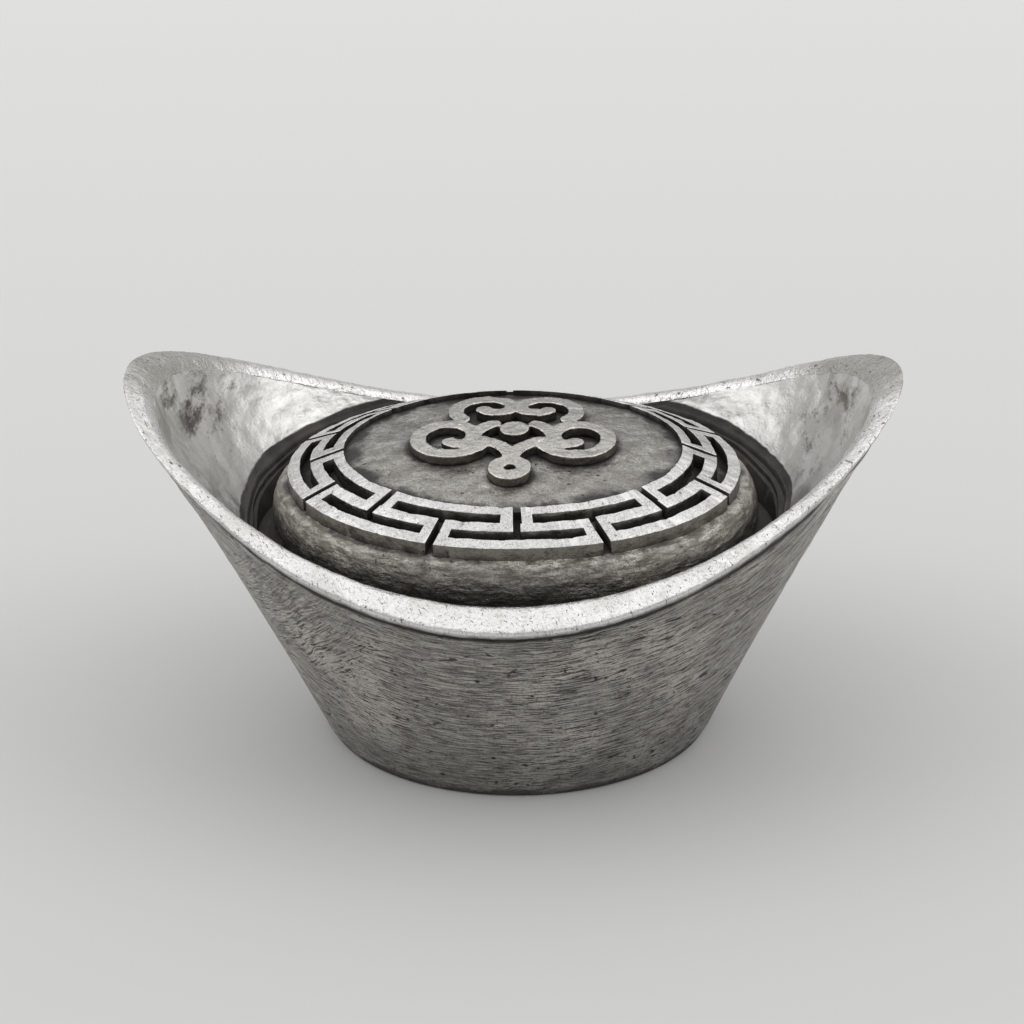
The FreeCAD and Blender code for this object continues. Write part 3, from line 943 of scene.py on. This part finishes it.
class INGOT_OT_rim(Operator):
    """Models the polished band along the rim, with worn edges and nicks"""

    bl_idname = "ingot.build_rim"
    bl_label = "Polished Rim"

    columns = 960
    land_rings = 18
    land_crown = 0.05
    nicks = 70

    # How fast the painted shade on the strip below the edge ends, for each ring
    side_shade_fade = 0.45

    def execute(self, context):
        s = hull_form(context)
        c = centre_form(context)
        count = self.columns
        outer, inner, seam, sill = [], [], [], []
        for column in range(count):
            angle = math.tau * column / count
            wall = lambda z: outside_wall(s, angle, z, s.rim_proud)
            face = lambda z: bowl_wall(s, c, angle, z)
            outer.append(under_saddle(s, wall, 0.0))
            seam.append(under_saddle(s, wall, s.rim_depth))
            inner.append(under_saddle(s, face, 0.0))
            sill.append(under_saddle(s, face, s.rim_depth))

        def ring_of(place):
            return lambda angle: place(round(angle * count / math.tau) % count)

        def land(column, share):
            start, end = outer[column], inner[column]
            width = (end - start).length
            share = mix(s.rim_round / width, 1 - s.inner_round / width, share)
            x, y = mix(start.x, end.x, share), mix(start.y, end.y, share)
            return Vector((x, y, saddle(s, x, y) + self.land_crown * 4 * share * (1 - share)))

        def outer_start(column):
            return mix(outer[column], seam[column], s.rim_round / s.rim_depth)

        def inner_end(column):
            return mix(inner[column], sill[column], s.inner_round / s.rim_depth)

        rings = [ring_of(lambda i: seam[i])]
        for share in shares(4):
            rings.append(ring_of(lambda i, share=share: bend(outer_start(i), outer[i], land(i, 0.0), share)))
        for share in shares(self.land_rings)[1:-1]:
            rings.append(ring_of(lambda i, share=share: land(i, share)))
        for share in shares(3):
            rings.append(ring_of(lambda i, share=share: bend(land(i, 1.0), inner[i], inner_end(i), share)))
        rings.append(ring_of(lambda i: sill[i]))
        rings.append(ring_of(lambda i: mix(sill[i], seam[i], 0.5)))

        piece = tube("rim_land", count, rings)
        # The side attribute marks the strip below the land that is darkened as painted shade
        side = piece.data.attributes.new("side", "FLOAT", "POINT")
        for index in range(len(piece.data.vertices)):
            side.data[index].value = max(0.0, 1 - self.side_shade_fade * (index // count))
        close_round(piece)
        uneven(piece, 2.6, 0.055, 3)
        uneven(piece, 0.7, 0.022, 4)
        self.cut_nicks(piece, outer, inner)
        hand_made(piece)
        finish_piece(piece, "rim_band", "rubbed_silver", 50)
        return {"FINISHED"}

    def cut_nicks(self, piece, outer, inner):
        """Presses short oblique nicks into the land."""
        draw = random.Random(11)
        nicks = []
        for _ in range(self.nicks):
            column = draw.randrange(self.columns)
            centre = mix(outer[column], inner[column], draw.uniform(0.05, 0.95))
            across = (inner[column] - outer[column]).normalized()
            along = Vector((-across.y, across.x, 0.0)).normalized()
            lean = draw.uniform(-1.0, 1.0)
            way = (across + along * lean).normalized()
            reach, half, depth = draw.uniform(0.2, 0.7), draw.uniform(0.06, 0.11), draw.uniform(0.05, 0.13)
            nicks.append((centre, way, reach, half, depth))
        for vertex in piece.data.vertices:
            for centre, way, reach, half, depth in nicks:
                apart = vertex.co - centre
                if apart.length_squared > 1.0:
                    continue
                forward = apart.dot(way)
                aside = (apart - way * forward).length
                if abs(forward) < reach and aside < 2 * half:
                    fall = (1 - abs(forward) / reach) * max(0.0, 1 - aside / (2 * half))
                    vertex.co.z -= depth * fall


class INGOT_OT_foot_plate(Operator):
    """Models the oval plate that closes the hollow foot"""

    bl_idname = "ingot.build_foot_plate"
    bl_label = "Foot Plate"

    columns = 192

    def execute(self, context):
        s = hull_form(context)
        half_x = s.foot_length / 2 - s.floor_wall + s.plate_ledge - s.plate_gap
        half_y = s.foot_width / 2 - s.floor_wall + s.plate_ledge - s.plate_gap

        def level(inset, z):
            return oval(half_x - inset, half_y - inset, z)

        rings = [level(half_y * share, 0.0) for share in (0.9, 0.7, 0.5, 0.3, 0.1)]
        rings += [level(0.12, 0.0), level(0.03, 0.04), level(0.0, 0.14)]
        rings += [level(0.0, s.plate_thickness), level(half_y * 0.3, s.plate_thickness)]
        rings += [level(half_y * 0.9, s.plate_thickness)]
        piece = tube("foot_plate", self.columns, rings)
        close_caps(piece, self.columns, len(rings))
        finish_piece(piece, "base_plate", "dome_silver")
        return {"FINISHED"}


class INGOT_OT_dome(Operator):
    """Models the oval dome with its belly, shoulder and the seat under the fret ring"""

    bl_idname = "ingot.build_dome"
    bl_label = "Centre Dome"

    columns = 384
    shoulder_out = 0.05
    shoulder_down = 0.15

    def execute(self, context):
        s = hull_form(context)
        c = centre_form(context)
        foot = Vector((c.foot_radius, s.seat_height))
        belly = Vector((c.dome_radius, c.dome_belly))
        corner = Vector((c.dome_radius + self.shoulder_out, c.seat_outer - self.shoulder_down))
        edge = Vector((c.outer_radius + c.seat_lip, c.seat_outer))
        seat = Vector((c.inner_radius, c.seat_inner))
        outline = [mix(foot, belly, share) for share in shares(6)]
        outline += [bend(belly, corner, edge, share) for share in shares(14)[1:]]
        outline += [mix(edge, seat, share) for share in shares(8)[1:]]
        outline += [Vector((c.inner_radius * share, c.seat_inner)) for share in (0.6, 0.2)]
        inside = c.foot_radius - c.dome_wall
        roof = c.seat_outer - c.dome_wall
        under = [Vector((inside * 0.2, roof)), Vector((inside, roof)), Vector((inside, s.seat_height))]
        rings = [oval(radius, radius * c.oval_ratio, z) for radius, z in under + outline]
        piece = tube("centre_dome", self.columns, rings)
        close_caps(piece, self.columns, len(rings))

        def hidden(point):
            return point.z < s.seat_height + 0.05 or point.z > c.seat_outer + 0.3

        uneven(piece, 2.4, 0.07, 5, hidden)
        uneven(piece, 0.6, 0.02, 6, hidden)
        hand_made(piece)
        finish_piece(piece, "dome", "dome_silver")
        return {"FINISHED"}


class INGOT_OT_solder(Operator):
    """Models the uneven bead of solder round the dome's foot"""

    bl_idname = "ingot.build_solder"
    bl_label = "Seat Solder"

    columns = 384

    def execute(self, context):
        s = hull_form(context)
        c = centre_form(context)
        leg = c.solder_leg

        # Outline of the bead: out from the dome's foot, up from the seat, and how much it swells
        outline = (
            (-0.05, 0.02, 0.0), (leg * 0.97, 0.02, 0.0), (leg * 0.62, 0.26, 0.12),
            (leg * 0.30, 0.50, 0.12), (0.14, leg * 0.97, 0.0), (-0.05, leg * 0.97, 0.0),
        )

        def ring_at(out, rise, most):
            def ring(angle):
                around = Vector((math.cos(angle), math.sin(angle), 0.0)) * 9.0
                swell = most * noise.noise(around)
                radius = c.foot_radius + out + swell
                z = s.seat_height + rise + abs(swell) * 0.4
                return oval(radius, radius * c.oval_ratio, z)(angle)
            return ring

        rings = [ring_at(*point) for point in outline]
        piece = tube("seat_bead", self.columns, rings)
        close_round(piece)
        hand_made(piece)
        finish_piece(piece, "seat_solder", "dark_solder")
        return {"FINISHED"}


class INGOT_OT_fret(Operator):
    """Models the pierced fret ring: a flat ring with its slots cut out, thickened and worn soft"""

    bl_idname = "ingot.build_fret"
    bl_label = "Fret Ring"

    columns = 720
    sunk = 0.05

    def execute(self, context):
        c = centre_form(context)
        radii = [c.outer_radius]
        for width in (c.outer_bar, c.outer_slot, c.middle_bar, c.inner_slot):
            radii.append(radii[-1] - width)
        radii.append(c.inner_radius)
        slope = (c.band_inner_top - c.band_outer_top) / (c.outer_radius - c.inner_radius)

        def top(radius):
            return c.band_outer_top + (c.outer_radius - radius) * slope

        rings = [oval(radius, radius, top(radius)) for radius in radii]
        piece = tube("fret_ring", self.columns, rings)
        self.cut_slots(piece, c, radii)
        bpy.ops.object.mode_set(mode="EDIT")
        bpy.ops.mesh.select_all(action="SELECT")
        depth = c.band_thickness + self.sunk
        bpy.ops.mesh.extrude_region_move(TRANSFORM_OT_translate={"value": (0.0, 0.0, -depth)})
        face_outwards()
        only(piece)
        piece.scale = (1.0, c.oval_ratio, 1.0)
        bpy.ops.object.transform_apply(location=False, rotation=False, scale=True)
        apply_modifier(piece, "BEVEL", width=c.worn_edge, segments=3, limit_method="ANGLE", angle_limit=0.6)
        uneven(piece, 1.6, 0.07, 7)
        uneven(piece, 0.5, 0.03, 8)
        hand_made(piece)
        finish_piece(piece, "fret_band", "fret_silver", 60)
        return {"FINISHED"}

    def cut_slots(self, piece, c, radii):
        """Deletes the faces of the T-shaped slots, which enter from inside and outside by turns."""
        only(piece)
        bpy.ops.object.mode_set(mode="EDIT")
        bpy.ops.mesh.select_mode(type="FACE")
        bpy.ops.mesh.select_all(action="DESELECT")
        bpy.ops.object.mode_set(mode="OBJECT")
        pitch = math.tau / c.fret_units
        for face in piece.data.polygons:
            radius = face.center.xy.length
            angle = math.atan2(face.center.y, face.center.x) + math.pi / 2 - c.fret_turn
            from_inside = abs((angle + pitch / 2) % pitch - pitch / 2)
            from_outside = abs(angle % pitch - pitch / 2)
            row = sum(radius < edge for edge in radii) - 1
            half = c.stem_width / 2 / radius
            across = (from_inside < half and row > 1) or (from_outside < half and row < 3)
            along = (row == 1 and from_inside < c.outer_span) or (row == 3 and from_outside < c.inner_span)
            face.select = across or along
        bpy.ops.object.mode_set(mode="EDIT")
        bpy.ops.mesh.delete(type="FACE")
        bpy.ops.object.mode_set(mode="OBJECT")


def crown(c, x, y):
    """Height of the medallion's domed face above a point."""
    share = (x**2 + (y / c.oval_ratio) ** 2) / c.inner_radius**2
    return c.field_edge + c.field_crown * (1 - share)


class INGOT_OT_medallion(Operator):
    """Models the domed medallion plate inside the fret ring"""

    bl_idname = "ingot.build_medallion"
    bl_label = "Medallion Plate"

    columns = 320
    face_rings = 60
    gap = 0.03

    def execute(self, context):
        c = centre_form(context)
        reach = c.inner_radius - self.gap

        def face_ring(radius):
            def ring(angle):
                x, y = radius * math.cos(angle), radius * c.oval_ratio * math.sin(angle)
                return Vector((x, y, crown(c, x, y)))
            return ring

        under = c.seat_inner + 0.01
        rings = [oval(reach * share, reach * share * c.oval_ratio, under) for share in (0.2, 0.6, 1.0)]
        rings += [face_ring(reach * (1 - share)) for share in shares(self.face_rings)[:-1]]
        piece = tube("medallion_field", self.columns, rings)
        close_caps(piece, self.columns, len(rings))

        hidden = lambda point: point.z < c.field_edge - 0.2
        uneven(piece, 3.0, 0.07, 9, hidden)
        uneven(piece, 0.7, 0.03, 10, hidden)
        hand_made(piece)
        finish_piece(piece, "medallion_plate", "field_silver")
        return {"FINISHED"}


class INGOT_OT_cloud(Operator):
    """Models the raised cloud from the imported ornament: fused, worn soft at its edges"""

    bl_idname = "ingot.build_cloud"
    bl_label = "Cloud Relief"

    voxel = 0.08
    smoothing = 6

    def execute(self, context):
        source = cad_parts["cloud_ornament"]
        deselect_all()
        piece = bpy.data.objects.new("cloud_relief", source.data.copy())
        context.collection.objects.link(piece)
        only(piece)
        piece.scale = (1 / MM, 1 / MM, 1 / MM)
        bpy.ops.object.transform_apply(location=True, rotation=True, scale=True)
        bpy.ops.object.mode_set(mode="EDIT")
        bpy.ops.mesh.select_all(action="SELECT")
        bpy.ops.mesh.remove_doubles(threshold=0.0001)
        bpy.ops.object.mode_set(mode="OBJECT")
        apply_modifier(piece, "REMESH", mode="VOXEL", voxel_size=self.voxel)
        apply_modifier(piece, "SMOOTH", factor=0.5, iterations=self.smoothing)
        uneven(piece, 1.2, 0.06, 12)
        uneven(piece, 0.4, 0.02, 13)
        hand_made(piece)
        finish_piece(piece, "cloud_ornament", "cloud_silver", 60)
        return {"FINISHED"}


class INGOT_OT_stage(Operator):
    """Sets up the floor, the soft lamps and the camera"""

    bl_idname = "ingot.build_stage"
    bl_label = "Stage"

    def execute(self, context):
        settings = context.scene.ingot_stage
        deselect_all()
        bpy.ops.mesh.primitive_plane_add(size=FLOOR_SIZE, location=(0.0, 0.0, 0.0))
        floor = context.object
        floor.name = "floor"
        self.floor_material(settings)
        floor.data.materials.append(bpy.data.materials["pale_floor"])
        self.world(context)
        for lamp in LAMPS:
            self.lamp(context, *lamp)
        self.camera(context, settings)
        context.scene.view_settings.view_transform = "Standard"
        return {"FINISHED"}

    def floor_material(self, settings):
        """Matt floor, painted paler far behind as painted light falling brighter there."""
        n, shader, place = new_material("pale_floor")
        n.feed(shader["Metallic"], 0.0)
        n.feed(shader["Roughness"], 0.85)
        n.feed(shader["Specular IOR Level"], 0.1)
        share = n.ramp(n.axis(place, "Y"), -0.08, 0.35)
        n.feed(shader["Base Color"], n.tint(share, shaded(settings.floor_near), shaded(settings.floor_far)))

    def world(self, context):
        world = bpy.data.worlds.new("studio")
        context.scene.world = world
        world.use_nodes = True
        back = world.node_tree.nodes["Background"].inputs
        back["Color"].default_value = (WORLD_GREY, WORLD_GREY, WORLD_GREY, 1.0)
        back["Strength"].default_value = 1.0

    def lamp(self, context, name, place, target, side, power):
        light = bpy.data.lights.new(name, "AREA")
        light.shape = "SQUARE"
        light.size = side
        light.energy = power
        lamp = bpy.data.objects.new(name, light)
        context.collection.objects.link(lamp)
        way = Vector(target) - Vector(place)
        lamp.matrix_world = Matrix.Translation(place) @ way.to_track_quat("-Z", "Y").to_matrix().to_4x4()

    def camera(self, context, settings):
        """Looks at the ingot from a little above its front, as the photograph does."""
        data = bpy.data.cameras.new("front_view")
        data.lens = settings.lens
        data.sensor_width = SENSOR_WIDTH
        data.clip_start = 0.01
        camera = bpy.data.objects.new("front_view", data)
        context.collection.objects.link(camera)
        flat = math.cos(settings.elevation)
        side, ahead = math.sin(settings.azimuth), math.cos(settings.azimuth)
        way = Vector((side * flat, ahead * flat, -math.sin(settings.elevation)))
        turn = way.to_track_quat("-Z", "Y").to_matrix().to_4x4() @ Matrix.Rotation(-settings.roll, 4, "Z")
        camera.matrix_world = Matrix.Translation(Vector(settings.target) - way * settings.distance) @ turn
        context.scene.camera = camera


class INGOT_PT_panel(Panel):
    """Lists the ingot's operators and sizes"""

    bl_label = "Silver Ingot"
    bl_idname = "INGOT_PT_panel"
    bl_space_type = "VIEW_3D"
    bl_region_type = "UI"
    bl_category = "Ingot"

    def draw(self, context):
        for operator in OPERATORS:
            self.layout.operator(operator.bl_idname)


OPERATORS = (
    INGOT_OT_hull, INGOT_OT_rim, INGOT_OT_foot_plate, INGOT_OT_dome, INGOT_OT_solder,
    INGOT_OT_fret, INGOT_OT_medallion, INGOT_OT_cloud, INGOT_OT_stage,
)
GROUPS = (HullSizes, CentreSizes, FinishColours, StageSettings)
CLASSES = GROUPS + OPERATORS + (INGOT_PT_panel,)


def register():
    for item in CLASSES:
        bpy.utils.register_class(item)
    bpy.types.Scene.ingot_hull = PointerProperty(type=HullSizes)
    bpy.types.Scene.ingot_centre = PointerProperty(type=CentreSizes)
    bpy.types.Scene.ingot_colours = PointerProperty(type=FinishColours)
    bpy.types.Scene.ingot_stage = PointerProperty(type=StageSettings)


def unregister():
    del bpy.types.Scene.ingot_stage
    del bpy.types.Scene.ingot_colours
    del bpy.types.Scene.ingot_centre
    del bpy.types.Scene.ingot_hull
    for item in reversed(CLASSES):
        bpy.utils.unregister_class(item)


def main():
    register()
    bpy.ops.ingot.build_hull()
    bpy.ops.ingot.build_rim()
    bpy.ops.ingot.build_foot_plate()
    bpy.ops.ingot.build_dome()
    bpy.ops.ingot.build_solder()
    bpy.ops.ingot.build_fret()
    bpy.ops.ingot.build_medallion()
    bpy.ops.ingot.build_cloud()
    bpy.ops.ingot.build_stage()


if __name__ == "__main__":
    main()
